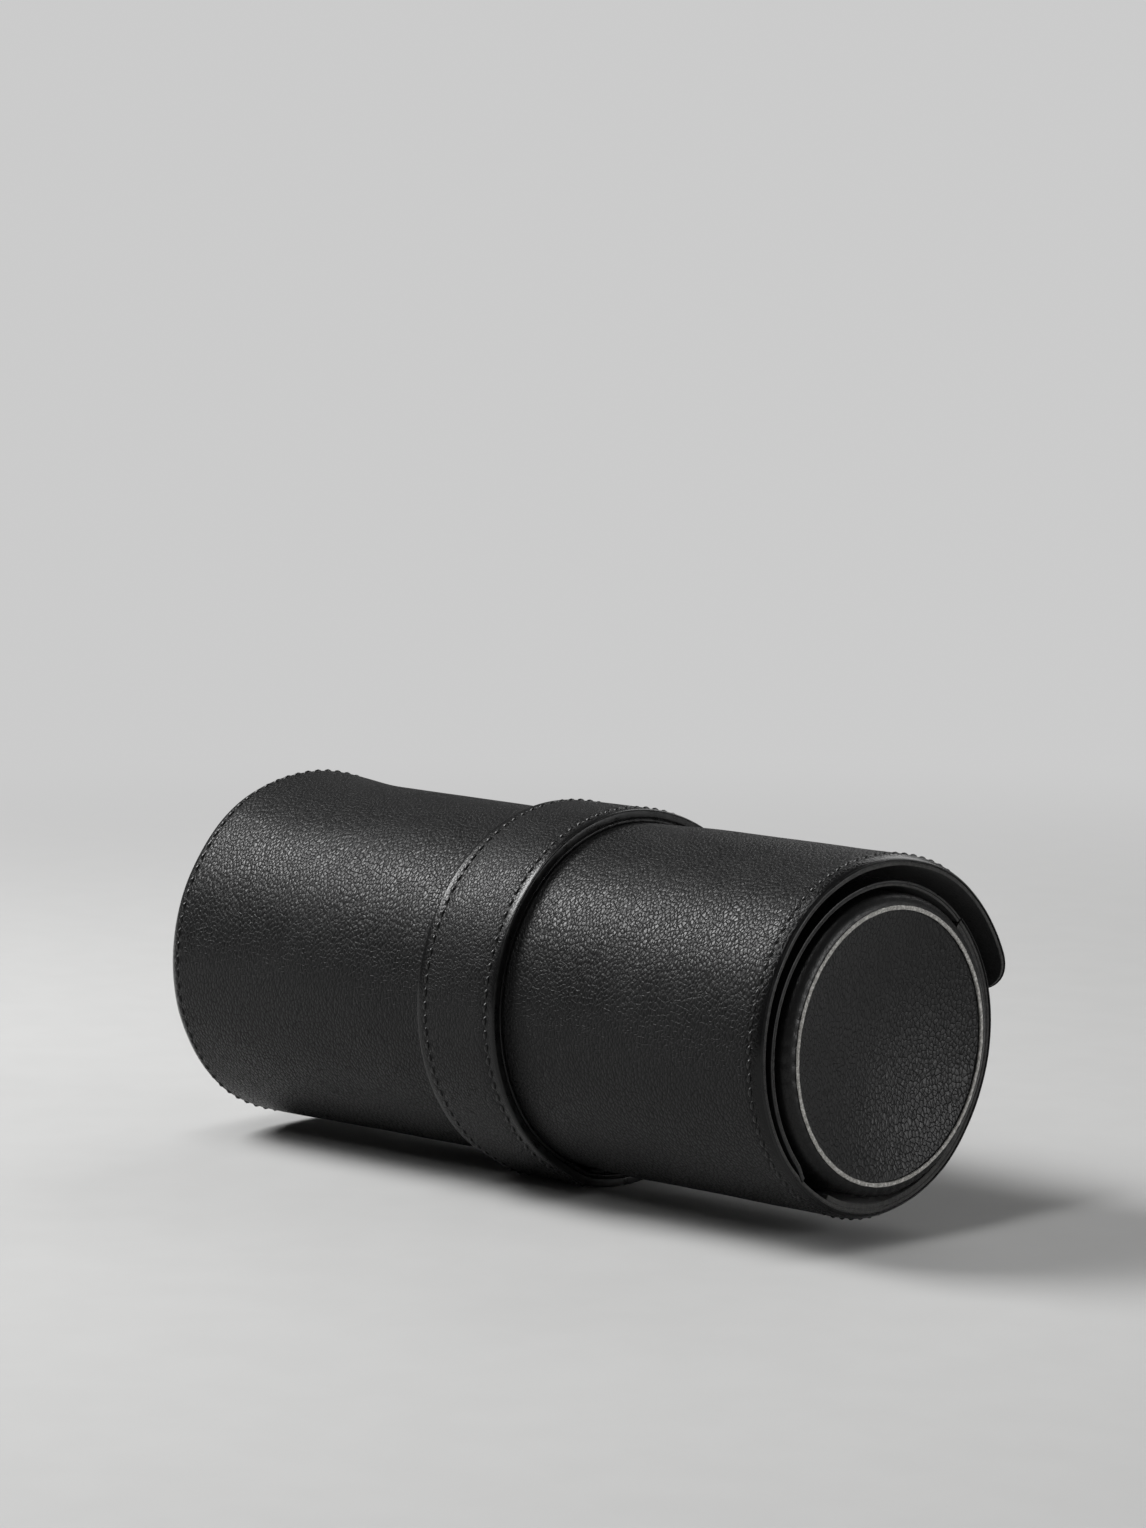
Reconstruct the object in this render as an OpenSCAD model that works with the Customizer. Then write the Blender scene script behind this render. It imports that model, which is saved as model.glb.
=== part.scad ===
// Rolled leather watch case: a lined leather wrap rolled round a padded core,
// held by a strap whose tail closes at the back. X runs along the roll, -Y is the
// front, +Z is up and the origin is the middle of the flat on which the roll rests.

/* [Roll] */
// Length of the rolled wrap along its axis
roll_len = 187.4; // [150:0.2:240]
// Thickness of the wrap's outer leather
wrap_leather_t = 1.1; // [0.9:0.05:1.4]
// Thickness of the wrap's lining
wrap_lining_t = 0.9; // [0.7:0.05:1.1]
// How much the wrap's radius grows from its inner end to the top of the roll
spiral_growth = 5.1; // [4.6:0.1:6.5]
// How steeply the radius grows along the turn
spiral_power = 1.15; // [1:0.05:1.4]
// How far the flap stands off the roll near its tip
flap_lift = 1.5; // [0.5:0.1:3]
// Radius of the flap's two outer corners
flap_corner_r = 10; // [4:0.5:18]
// Angle of the flap's tip round the roll, from the back
tip_angle = 8; // [4:4:20]
// Angle of the upper fold of the flap
top_fold_angle = 120; // [108:4:132]
// Angle of the lower fold of the flap
front_fold_angle = 232; // [224:4:236]
// Angle of the wrap's inner end, counted on through a full turn
wrap_end_angle = 404; // [400:4:408]
// Half of the slit left at each fold, as an angle
fold_slit = 0.25; // [0.25:0.05:0.5]

/* [Inner leaves] */
// Thickness of the lower leaf, which is sewn inside the wrap
lower_leaf_t = 1.2; // [0.8:0.1:1.5]
// Angle at which the lower leaf begins
lower_leaf_angle = 240; // [240:4:256]
// Thickness of each of the upper leaf's two plies
leaf_ply_t = 0.6; // [0.4:0.05:0.8]
// Gap between the upper leaf and the core
leaf_gap = 1.4; // [0.6:0.1:1.5]
// Angle between the wrap's inner end and the upper leaf's root
leaf_root_gap = 0.55; // [0.5:0.05:1.5]
// Angle of the upper leaf's free end
leaf_tip_angle = 226; // [180:2:228]

/* [Strap] */
// Width of the strap
strap_w = 24.5; // [18:0.5:34]
// Distance of the strap's middle from the roll's middle
strap_shift = 5.7; // [0:0.1:8]
// Thickness of the strap's outer leather
strap_leather_t = 1.1; // [0.9:0.05:1.4]
// Thickness of the strap's stiffener
stiffener_t = 1.0; // [0.8:0.05:1.4]
// Thickness of the strap's lining
strap_lining_t = 1.0; // [0.8:0.05:1.3]
// Angle of the fixed strap's end at the back, counted on through a full turn
strap_end_angle = 332; // [324:4:332]
// Angle of the strap tail's end, below the back of the roll
tail_end_angle = -24; // [-24:4:-16]
// Gap between the strap tail's end and the wrap
tail_gap = 0.5; // [0.4:0.05:1]
// Thickness of the patch under the strap, where the strap is sewn to the wrap
patch_t = 1.0; // [0.6:0.1:1.6]
// Angle at which the patch begins
patch_from = 252; // [248:4:256]
// Angle at which the patch ends
patch_to = 296; // [288:4:300]
// Height pressed flat on the strap where the roll rests
foot_flat = 0.55; // [0.3:0.05:0.7]

/* [Closure] */
// Radius of the two hidden closure magnets
magnet_r = 5; // [3:0.5:6]
// Thickness of the magnet in the wrap
wrap_magnet_t = 1.0; // [0.8:0.05:1.1]
// Thickness of the magnet in the strap tail
tail_magnet_t = 1.2; // [1:0.05:1.4]
// Angle of the closure magnets round the roll
magnet_angle = -14; // [-14:1:-12]
// Leather left over the wrap's magnet
magnet_cover = 0.75; // [0.7:0.05:0.9]

/* [Core] */
// Radius of the core over its cover
core_r = 32.5; // [26:0.5:40]
// How far the core stands out of each end of the wrap
core_proud = 2.5; // [0:0.1:6]
// Gap between the core and the tightest part of the wrap
core_gap = 0.4; // [0.3:0.05:1]
// Thickness of the core's cover
cover_t = 1.0; // [0.7:0.05:1.4]
// Thickness of the foam between the stiff tube and the cover
foam_t = 4.5; // [4:0.5:9]
// Wall of the stiff tube
tube_wall = 2; // [1:0.1:3]
// Thickness of the end boards
board_t = 2.5; // [1.5:0.1:4]
// Width of the rounded shoulder between the end dish and the core's side
shoulder_w = 2.5; // [2:0.1:4]
// Length of the rounded shoulder along the core
shoulder_len = 2.6; // [1.6:0.1:4]
// How far the dish's cut edge stands above the shoulder
dish_proud = 0.35; // [0:0.05:0.6]
// Depth of the end dish at its middle
dish_depth = 5; // [2:0.1:8]
// Thickness of the dish's leather
dish_t = 1.1; // [0.8:0.05:1.4]
// Depth of the dish's turned-up lip
dish_lip = 0.5; // [0.3:0.05:1]
// Foam left between the middle of the dish and the end board
pad_min = 0.9; // [0.5:0.1:3]

/* [Stitching] */
// Distance of the wrap's stitch rows from its two ends
wrap_stitch_inset = 3; // [2:0.1:5]
// Distance of the strap's stitch rows from its edges
strap_stitch_inset = 2.7; // [2:0.1:4]
// Width of a thread
thread_w = 0.6; // [0.4:0.05:0.9]
// Height of a thread above the leather
thread_h = 0.3; // [0.2:0.05:0.4]
// Angle left free of thread on each side of the foot
foot_stitch_free = 14; // [12:1:18]

/* [Hidden] */
$fn = 96;

leather_black = [0.045, 0.045, 0.047];
strap_black = [0.055, 0.055, 0.057];
lining_black = [0.085, 0.085, 0.09];
thread_black = [0.02, 0.02, 0.02];
raw_edge_grey = [0.55, 0.54, 0.52];

// Angle between two neighbouring facets of the rolled sheets
arc_step = 4;
wrap_t = wrap_leather_t + wrap_lining_t;
strap_t = strap_leather_t + stiffener_t + strap_lining_t;
// Outer radius of the wrap at its inner end
wrap_end_r = core_r + core_gap + lower_leaf_t + wrap_t;
// Angle below which the flap lifts off the roll, and the span that the lift takes
lift_angle = 80;
lift_span = 58;
// Angle at which the growth of the radius is measured
top_angle = 80;
// Span over which the strap climbs onto the patch
patch_ramp = 12;
// Height of the core's axis above the surface that the roll rests on
core_z = wrap_r(270) + patch_t + strap_t - foot_flat;
roll_x = -strap_shift;
core_len = roll_len + 2 * core_proud;
core_half = core_len / 2;
dish_r = core_r - shoulder_w;
dish_front_r = dish_r - dish_t;
pad_z = core_half - dish_depth - dish_t - pad_min;
foam_r = core_r - cover_t;
tube_r = foam_r - foam_t;
leaf_r = core_r + leaf_gap;
leaf_root_angle = wrap_end_angle - 360 + leaf_root_gap;
slack = 1;

// Radius of the wrap's outer face at an angle round the roll
function wrap_r(a) =
  wrap_end_r
  + spiral_growth * pow(max(0, wrap_end_angle - a) / (wrap_end_angle - top_angle), spiral_power)
  + flap_lift * pow(sin(90 * min(1, max(0, lift_angle - a) / lift_span)), 2);

// A rise from 0 to 1 with soft ends
function soft(t) = let (u = min(1, max(0, t))) u * u * (3 - 2 * u);

// How much of the patch's thickness the strap is lifted by
function patch_lift(a) =
  soft((a - patch_from + patch_ramp) / patch_ramp) * soft((patch_to + patch_ramp - a) / patch_ramp);

// Radius of the strap's inner face: it lies on the wrap, over the patch, and the
// tail beyond the flap's tip runs down towards the back of the roll
function tail_share(a) = (tip_angle - a) / (tip_angle - tail_end_angle);
function tail_end_r() = wrap_r(360 + tail_end_angle) + tail_gap;
function strap_r(a) =
  a >= tip_angle
  ? wrap_r(a) + patch_t * patch_lift(a)
  : wrap_r(tip_angle) + (tail_end_r() - wrap_r(tip_angle)) * sin(90 * tail_share(a));

// Slope of the strap's inner face against the circle through it
function strap_tilt(a) =
  atan((strap_r(a + 0.5) - strap_r(a - 0.5)) / (strap_r(a) * PI / 180));

function at_angle(r, a) = [r * cos(a), r * sin(a)];

// Angles of the facet corners between two ends
function steps(from, to) = concat(
  [from],
  [for (a = [ceil((from + 0.6) / arc_step) * arc_step : arc_step : to - 0.6]) a],
  [to]
);

function rim(radii, angles) = [for (i = [0 : len(angles) - 1]) at_angle(radii[i], angles[i])];
function back_to_front(list) = [for (i = [len(list) - 1 : -1 : 0]) list[i]];

// Puts a section drawn in Y and Z along X, from one X to another
module along_x(from, to) {
  translate([from, 0, core_z])
    rotate([90, 0, 90])
      linear_extrude(height = to - from)
        children();
}

// A band of the wrap between two depths below its outer face
module wrap_band(depth_out, depth_in, from, to, x_from, x_to) {
  angles = steps(from, to);
  outer = [for (a = angles) wrap_r(a) - depth_out];
  inner = [for (a = angles) wrap_r(a) - depth_in];
  along_x(x_from, x_to)
    polygon(concat(rim(outer, angles), back_to_front(rim(inner, angles))));
}

// A band of the strap between two heights above its inner face
module strap_band(height_in, height_out, from, to, x_from, x_to) {
  angles = steps(from, to);
  outer = [for (a = angles) strap_r(a) + height_out];
  inner = [for (a = angles) strap_r(a) + height_in];
  along_x(x_from, x_to)
    polygon(concat(rim(outer, angles), back_to_front(rim(inner, angles))));
}

// A band of even radius, for the upper leaf
module leaf_band(r_in, r_out) {
  angles = steps(leaf_root_angle, leaf_tip_angle);
  outer = [for (a = angles) r_out];
  inner = [for (a = angles) r_in];
  along_x(roll_x - roll_len / 2, roll_x + roll_len / 2)
    polygon(concat(rim(outer, angles), back_to_front(rim(inner, angles))));
}

module wrap_ply(depth_out, depth_in, from, to) {
  wrap_band(depth_out, depth_in, from, to, roll_x - roll_len / 2, roll_x + roll_len / 2);
}

module strap_ply(height_in, height_out, from, to) {
  strap_band(height_in, height_out, from, to, -strap_w / 2, strap_w / 2);
}

// The piece that rounds one corner of the flap; side is 1 or -1
module corner_cut(side) {
  translate([roll_x, 0, core_z])
    rotate([tip_angle - 90, 0, 0])
      translate([0, 0, core_r])
        linear_extrude(height = wrap_r(tip_angle) - core_r + strap_t)
          scale([side, 1])
            translate([roll_len / 2 - flap_corner_r, -flap_corner_r])
              difference() {
                square(flap_corner_r + slack);
                circle(r = flap_corner_r);
              }
}

module flap_shape() {
  difference() {
    children();
    corner_cut(1);
    mirror([1, 0, 0]) translate([-2 * roll_x, 0, 0]) corner_cut(1);
  }
}

// The magnet in the wrap, also used as the pocket that holds it
module wrap_magnet_shape() {
  top = wrap_r(360 + magnet_angle) - magnet_cover;
  translate([0, 0, core_z])
    rotate([magnet_angle - 90, 0, 0])
      translate([0, 0, top - wrap_magnet_t])
        cylinder(r = magnet_r, h = wrap_magnet_t);
}

// The magnet in the strap tail, set square to the tail's own slope
module tail_magnet_shape() {
  spot = at_angle(strap_r(magnet_angle), magnet_angle);
  inset = strap_lining_t + (stiffener_t - tail_magnet_t) / 2;
  translate([0, spot[0], core_z + spot[1]])
    rotate([magnet_angle - strap_tilt(magnet_angle) - 90, 0, 0])
      translate([0, 0, inset])
        cylinder(r = magnet_r, h = tail_magnet_t);
}

// Everything below the surface that the roll rests on
module below_floor() {
  translate([-strap_w / 2 - slack, -core_r, -core_r])
    cube([strap_w + 2 * slack, 2 * core_r, core_r]);
}

// Base part of the wrap

module wrap_leather_base() {
  color(leather_black)
    difference() {
      wrap_ply(0, wrap_leather_t, front_fold_angle + fold_slit, wrap_end_angle);
      wrap_magnet_shape();
    }
}

module wrap_lining_base() {
  color(lining_black)
    difference() {
      wrap_ply(wrap_leather_t, wrap_t, front_fold_angle + fold_slit, wrap_end_angle);
      wrap_magnet_shape();
    }
}

module lower_leaf() {
  color(lining_black)
    wrap_ply(wrap_t, wrap_t + lower_leaf_t, lower_leaf_angle, wrap_end_angle);
}

module strap_patch() {
  color(strap_black)
    wrap_band(-patch_t, 0, patch_from, patch_to, -strap_w / 2, strap_w / 2);
}

module strap_leather_base() {
  color(strap_black)
    difference() {
      strap_ply(strap_t - strap_leather_t, strap_t, front_fold_angle + fold_slit, strap_end_angle);
      below_floor();
    }
}

module strap_stiffener_base() {
  color("dimgray")
    strap_ply(strap_lining_t, strap_lining_t + stiffener_t, front_fold_angle + fold_slit, strap_end_angle);
}

module strap_lining_base() {
  color(lining_black)
    strap_ply(0, strap_lining_t, front_fold_angle + fold_slit, strap_end_angle);
}

module wrap_magnet() {
  color("silver") wrap_magnet_shape();
}

// The wrap's stitch rows near its two ends
module wrap_rows(from, to) {
  reach = roll_len / 2 - wrap_stitch_inset;
  for (x = [roll_x - reach, roll_x + reach])
    wrap_band(-thread_h, 0, from, to, x - thread_w / 2, x + thread_w / 2);
}

// The strap's two stitch rows
module strap_rows(from, to) {
  reach = strap_w / 2 - strap_stitch_inset;
  for (x = [-reach, reach])
    strap_band(strap_t, strap_t + thread_h, from, to, x - thread_w / 2, x + thread_w / 2);
}

module stitching_base() {
  color(thread_black) {
    wrap_rows(front_fold_angle + fold_slit, wrap_end_angle);
    strap_rows(front_fold_angle + fold_slit, 270 - foot_stitch_free);
    strap_rows(270 + foot_stitch_free, strap_end_angle);
  }
}

// Front part of the flap, between the two folds

module wrap_leather_front() {
  color(leather_black)
    wrap_ply(0, wrap_leather_t, top_fold_angle + fold_slit, front_fold_angle - fold_slit);
}

module wrap_lining_front() {
  color(lining_black)
    wrap_ply(wrap_leather_t, wrap_t, top_fold_angle + fold_slit, front_fold_angle - fold_slit);
}

module strap_leather_front() {
  color(strap_black)
    strap_ply(strap_t - strap_leather_t, strap_t, top_fold_angle + fold_slit, front_fold_angle - fold_slit);
}

module strap_stiffener_front() {
  color("dimgray")
    strap_ply(strap_lining_t, strap_lining_t + stiffener_t,
      top_fold_angle + fold_slit, front_fold_angle - fold_slit);
}

module strap_lining_front() {
  color(lining_black)
    strap_ply(0, strap_lining_t, top_fold_angle + fold_slit, front_fold_angle - fold_slit);
}

module stitching_front() {
  color(thread_black) {
    wrap_rows(top_fold_angle + fold_slit, front_fold_angle - fold_slit);
    strap_rows(top_fold_angle + fold_slit, front_fold_angle - fold_slit);
  }
}

// Top part of the flap, with its tip and the strap's tail

module wrap_leather_top() {
  color(leather_black)
    flap_shape()
      wrap_ply(0, wrap_leather_t, tip_angle, top_fold_angle - fold_slit);
}

module wrap_lining_top() {
  color(lining_black)
    flap_shape()
      wrap_ply(wrap_leather_t, wrap_t, tip_angle, top_fold_angle - fold_slit);
}

module strap_leather_top() {
  color(strap_black)
    difference() {
      strap_ply(strap_t - strap_leather_t, strap_t, tail_end_angle, top_fold_angle - fold_slit);
      tail_magnet_shape();
    }
}

module strap_stiffener_top() {
  color("dimgray")
    difference() {
      strap_ply(strap_lining_t, strap_lining_t + stiffener_t, tail_end_angle, top_fold_angle - fold_slit);
      tail_magnet_shape();
    }
}

module strap_lining_top() {
  color(lining_black)
    difference() {
      strap_ply(0, strap_lining_t, tail_end_angle, top_fold_angle - fold_slit);
      tail_magnet_shape();
    }
}

module stitching_top() {
  corner_span = asin(min(0.9, (flap_corner_r + thread_w) / wrap_r(tip_angle)));
  color(thread_black) {
    wrap_rows(tip_angle + corner_span, top_fold_angle - fold_slit);
    strap_rows(tail_end_angle, top_fold_angle - fold_slit);
  }
}

module tail_magnet() {
  color("silver") tail_magnet_shape();
}

// Upper leaf, which folds over the core from the wrap's inner end

module upper_leaf_leather() {
  color(leather_black)
    leaf_band(leaf_r + leaf_ply_t, leaf_r + 2 * leaf_ply_t);
}

module upper_leaf_lining() {
  color(lining_black)
    leaf_band(leaf_r, leaf_r + leaf_ply_t);
}

// Core

// Turns a profile drawn as radius and height about the core's axis
module about_core(side) {
  translate([roll_x, 0, core_z])
    rotate([0, 90 * side, 0])
      rotate_extrude($fn = 128)
        children();
}

// Height of the dish's front and back faces at a radius
function dish_front(r) =
  core_half - dish_lip - (dish_depth - dish_lip) * (1 - pow(r / dish_front_r, 2));
function dish_back(r) = dish_front(r * dish_front_r / dish_r) - dish_t;

// Where the cover's inner face leaves the dish's wall and where it meets the side
lip_foot = core_half - dish_lip - dish_t;
lip_side = lip_foot - (foam_r - dish_r);
shoulder_z = core_half - dish_proud;

module core_cover() {
  turn = [for (a = [0 : 10 : 90])
    [dish_r + shoulder_w * cos(a), shoulder_z - shoulder_len + shoulder_len * sin(a)]];
  inner = [[dish_r, lip_foot], [foam_r, lip_side]];
  half = concat(turn, inner);
  color([0.03, 0.03, 0.032])
    about_core(1)
      polygon(concat(half, [for (p = back_to_front(half)) [p[0], -p[1]]]));
}

module core_foam() {
  color([0.2, 0.2, 0.21])
    translate([roll_x - pad_z + board_t, 0, core_z])
      rotate([0, 90, 0])
        difference() {
          cylinder(r = foam_r, h = 2 * (pad_z - board_t));
          translate([0, 0, -slack]) cylinder(r = tube_r, h = 2 * (pad_z - board_t + slack));
        }
}

module core_tube() {
  color([0.45, 0.36, 0.26])
    translate([roll_x - pad_z + board_t, 0, core_z])
      rotate([0, 90, 0])
        difference() {
          cylinder(r = tube_r, h = 2 * (pad_z - board_t));
          translate([0, 0, -slack]) cylinder(r = tube_r - tube_wall, h = 2 * (pad_z - board_t + slack));
        }
}

module end_board(side) {
  color([0.45, 0.36, 0.26])
    translate([roll_x, 0, core_z])
      rotate([0, 90 * side, 0])
        translate([0, 0, pad_z - board_t])
          cylinder(r = foam_r, h = board_t);
}

module end_pad(side) {
  rings = 10;
  color([0.2, 0.2, 0.21])
    about_core(side)
      polygon(concat(
        [[0, pad_z], [foam_r, pad_z], [foam_r, lip_side]],
        [for (i = [rings : -1 : 0]) [dish_r * i / rings, dish_back(dish_r * i / rings)]]
      ));
}

module end_dish(side) {
  rings = 10;
  color(raw_edge_grey)
    about_core(side)
      polygon(concat(
        [for (i = [0 : rings]) [dish_r * i / rings, dish_back(dish_r * i / rings)]],
        [[dish_r, core_half], [dish_front_r, core_half]],
        [for (i = [rings : -1 : 0]) [dish_front_r * i / rings, dish_front(dish_front_r * i / rings)]]
      ));
}

module end_board_right() { end_board(1); }
module end_board_left() { end_board(-1); }
module end_pad_right() { end_pad(1); }
module end_pad_left() { end_pad(-1); }
module end_dish_right() { end_dish(1); }
module end_dish_left() { end_dish(-1); }

wrap_leather_base();
wrap_lining_base();
lower_leaf();
strap_patch();
strap_leather_base();
strap_stiffener_base();
strap_lining_base();
stitching_base();
wrap_magnet();
wrap_leather_front();
wrap_lining_front();
strap_leather_front();
strap_stiffener_front();
strap_lining_front();
stitching_front();
wrap_leather_top();
wrap_lining_top();
strap_leather_top();
strap_stiffener_top();
strap_lining_top();
stitching_top();
tail_magnet();
upper_leaf_leather();
upper_leaf_lining();
core_tube();
core_foam();
core_cover();
end_board_right();
end_board_left();
end_pad_right();
end_pad_left();
end_dish_right();
end_dish_left();
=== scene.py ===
import bisect
import math

import bmesh
import bpy
from mathutils import Euler, Matrix, Vector, noise


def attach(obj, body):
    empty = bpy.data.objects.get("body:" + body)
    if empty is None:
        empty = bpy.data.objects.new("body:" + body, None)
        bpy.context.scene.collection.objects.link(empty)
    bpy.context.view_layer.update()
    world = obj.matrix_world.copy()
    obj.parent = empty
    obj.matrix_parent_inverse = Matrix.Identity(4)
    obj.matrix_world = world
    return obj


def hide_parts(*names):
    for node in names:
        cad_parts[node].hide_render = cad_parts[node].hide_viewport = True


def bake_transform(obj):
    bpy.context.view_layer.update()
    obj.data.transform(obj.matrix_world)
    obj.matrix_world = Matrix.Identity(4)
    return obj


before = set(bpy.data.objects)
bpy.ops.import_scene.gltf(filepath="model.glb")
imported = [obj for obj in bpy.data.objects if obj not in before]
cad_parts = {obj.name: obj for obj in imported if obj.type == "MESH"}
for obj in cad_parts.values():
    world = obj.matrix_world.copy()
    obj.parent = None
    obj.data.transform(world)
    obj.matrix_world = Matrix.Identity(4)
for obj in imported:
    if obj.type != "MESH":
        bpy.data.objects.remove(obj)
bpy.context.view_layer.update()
print("frame loaded:", len(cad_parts), "nodes")


# The rolled section. Sheets are cut flat in millimetres, x along the roll, y along the leather and
# z above it, and are rolled up last. A rise or a fall is where it starts or stops, and its length.

roll = {
    "axisZ": 41.4976,  # height of the core's axis
    "leftX": -99.4, "rightX": 88.0, "middleX": -5.7,
    "endR": 36.1, "growth": 5.1, "power": 1.15, "endAngle": 404.0, "topAngle": 80.0,
    "lift": 1.5, "liftFrom": 80.0, "liftSpan": 58.0,
    "tipAngle": 8.0, "tailAngle": -24.0, "tailGap": 0.5,
    "patch": 1.0, "patchFrom": 252.0, "patchTo": 296.0, "patchRamp": 12.0,
    "strapEnd": 332.0, "strapThickness": 3.1,
    "leafR": 33.9, "leafRoot": 44.55, "leafTip": 226.0, "leafThickness": 1.2,
    "lowerLeafFrom": 240.0,
    "seam": 177.0,  # where the sheets' two moving parts meet, on a stretch that doesn't bend
    "innerSeam": 350.0, "innerRise": (320, 60), "innerEase": 0.6,
    "wider": 1.0, "widerFall": (0.55, 0.55),  # the left end is fuller than the right one
    "frontWider": 1.35, "frontRise": (95, 35), "frontFall": (262, 40),
    "slimmer": 0.6, "slimmerRise": (0.5, 0.5), "slimmerFrom": (50, 45),
    "flare": 1.7, "flareLength": 15.0, "flareFall": (152, 60),  # the back edge curls out at the left end
    "waist": 0.35, "waistRise": (13, 18),
    "dents": 0.22, "dentsRise": (12, 10), "dentScale": (0.027, 0.034),
    "rippleShare": 0.4, "rippleScale": (0.07, 0.08),
    "leafDents": 0.12, "leafDentScale": (0.03, 0.04),
    "droop": 0.5, "droopLength": 2.8,  # the sewn borders at both ends bend inward
    "borderCurve": 1.4,
    "foldR": 38.0,  # radius on which the two folds of the wrap start and end
}


def soft(t):
    t = min(1.0, max(0.0, t))
    return t * t * (3 - 2 * t)


def rise(value, start, span):
    return soft((value - start) / span)


def fall(value, stop, span):
    return soft((stop - value) / span)


def uneven(x, a, scale, layer):
    return noise.noise(Vector((x * scale[0], a * scale[1], layer)))


def wrapRadius(a):
    turned = max(0.0, roll["endAngle"] - a) / (roll["endAngle"] - roll["topAngle"])
    up = math.sin(math.radians(90 * min(1.0, max(0.0, roll["liftFrom"] - a) / roll["liftSpan"])))
    return roll["endR"] + roll["growth"] * turned ** roll["power"] + roll["lift"] * up * up


def patchLift(a):
    ramp = roll["patchRamp"]
    return soft((a - roll["patchFrom"] + ramp) / ramp) * soft((roll["patchTo"] + ramp - a) / ramp)


def strapRadius(a):
    tip, tail = roll["tipAngle"], roll["tailAngle"]
    if a >= tip:
        return wrapRadius(a) + roll["patch"] * patchLift(a)
    share = (tip - a) / (tip - tail)
    end = wrapRadius(360 + tail) + roll["tailGap"]
    return wrapRadius(tip) + (end - wrapRadius(tip)) * math.sin(math.radians(90 * share))


def drift(a, x):
    along = (x - roll["leftX"]) / (roll["rightX"] - roll["leftX"])
    inner = rise(a, *roll["innerRise"])
    front = rise(a, *roll["frontRise"]) * fall(a, *roll["frontFall"])
    fuller = roll["wider"] * (1 - roll["innerEase"] * inner) + roll["frontWider"] * front
    fuller *= fall(along, *roll["widerFall"])
    slimmer = -roll["slimmer"] * rise(along, *roll["slimmerRise"]) * (1 - inner)
    slimmer *= rise(a, *roll["slimmerFrom"])
    curl = math.exp(-(((x - roll["leftX"]) / roll["flareLength"]) ** 2))
    flare = roll["flare"] * curl * fall(a, *roll["flareFall"])
    waist = -roll["waist"] * (1 - rise(abs(x), *roll["waistRise"])) * (1 - inner)
    dent = uneven(x, a, roll["dentScale"], 3.1) + roll["rippleShare"] * uneven(x, a, roll["rippleScale"], 8.7)
    free = rise(abs(x), *roll["dentsRise"]) * (1 - inner)
    edge = min(x - roll["leftX"], roll["rightX"] - x)
    droop = -roll["droop"] * max(0.0, 1 - edge / roll["droopLength"]) ** roll["borderCurve"] * (1 - inner)
    return fuller + slimmer + flare + waist + droop + roll["dents"] * dent * free


def surfaceRadius(kind, a, x):
    if kind == "wrap":
        return wrapRadius(a) + drift(a, x)
    if kind == "strap":
        tip, tail = roll["tipAngle"], roll["tailAngle"]
        if a >= tip:
            return strapRadius(a) + drift(a, x)
        share = (tip - a) / (tip - tail)
        return strapRadius(a) + (1 - share) * drift(tip, x) + share * drift(360 + tail, x)
    return roll["leafR"] + roll["leafDents"] * uneven(x, a, roll["leafDentScale"], 1.4)


def onRoll(kind, x, a, h):
    r = surfaceRadius(kind, a, x) + h
    z = roll["axisZ"] + r * math.sin(math.radians(a))
    return Vector((x, r * math.cos(math.radians(a)), max(0.0, z))) * 0.001  # it rests flat on the floor


def sectionPoint(a):
    y = roll["foldR"] * 0.001 * math.cos(math.radians(a))
    z = 0.001 * (roll["axisZ"] + roll["foldR"] * math.sin(math.radians(a)))
    return (0.0, y, z)


def arcTable(low, high, radius, step=0.5):
    angles, lengths = [low], [0.0]
    while angles[-1] < high - 0.01:
        a = angles[-1]
        ra, rb = radius(a), radius(a + step)
        lengths.append(lengths[-1] + math.hypot(math.radians(step) * (ra + rb) / 2, rb - ra))
        angles.append(a + step)
    return angles, lengths


arcs = {
    "wrap": arcTable(roll["tipAngle"], roll["endAngle"], wrapRadius),
    "strap": arcTable(roll["tailAngle"], roll["strapEnd"], lambda a: strapRadius(a) + roll["strapThickness"]),
    "leaf": arcTable(44.5, roll["leafTip"], lambda a: roll["leafR"] + roll["leafThickness"]),
}


def between(keys, values, key):
    i = min(max(bisect.bisect_right(keys, key) - 1, 0), len(keys) - 2)
    t = (key - keys[i]) / (keys[i + 1] - keys[i])
    return values[i] + t * (values[i + 1] - values[i])


def arcAt(kind, a):
    return between(arcs[kind][0], arcs[kind][1], a)


def angleAt(kind, s):
    return between(arcs[kind][1], arcs[kind][0], s)


# Materials

def addNode(tree, kind, props=None, feeds=None):
    made = tree.nodes.new(kind)
    made.location = (len(tree.nodes) * 40 - 900, -(len(tree.nodes) % 7) * 160)
    for key, value in (props or {}).items():
        setattr(made, key, value)
    for key, value in (feeds or {}).items():
        if isinstance(value, bpy.types.NodeSocket):
            tree.links.new(value, made.inputs[key])
        else:
            made.inputs[key].default_value = value
    return made


def doMath(tree, operation, a, b=0.0, c=None, clamp=False):
    feeds = {0: a, 1: b}
    if c is not None:
        feeds[2] = c
    return addNode(tree, "ShaderNodeMath", {"operation": operation, "use_clamp": clamp}, feeds).outputs[0]


def vectorMath(tree, operation, a, b):
    return addNode(tree, "ShaderNodeVectorMath", {"operation": operation}, {0: a, 1: b}).outputs[0]


def mapTo(tree, value, low, high, toLow=0.0, toHigh=1.0):
    return addNode(
        tree, "ShaderNodeMapRange", {"interpolation_type": "SMOOTHSTEP"},
        {"Value": value, "From Min": low, "From Max": high, "To Min": toLow, "To Max": toHigh},
    ).outputs["Result"]


def cloud(tree, place, scale, detail):
    return addNode(tree, "ShaderNodeTexNoise", feeds={
        "Vector": place, "Scale": scale, "Detail": detail}).outputs["Fac"]


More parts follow.
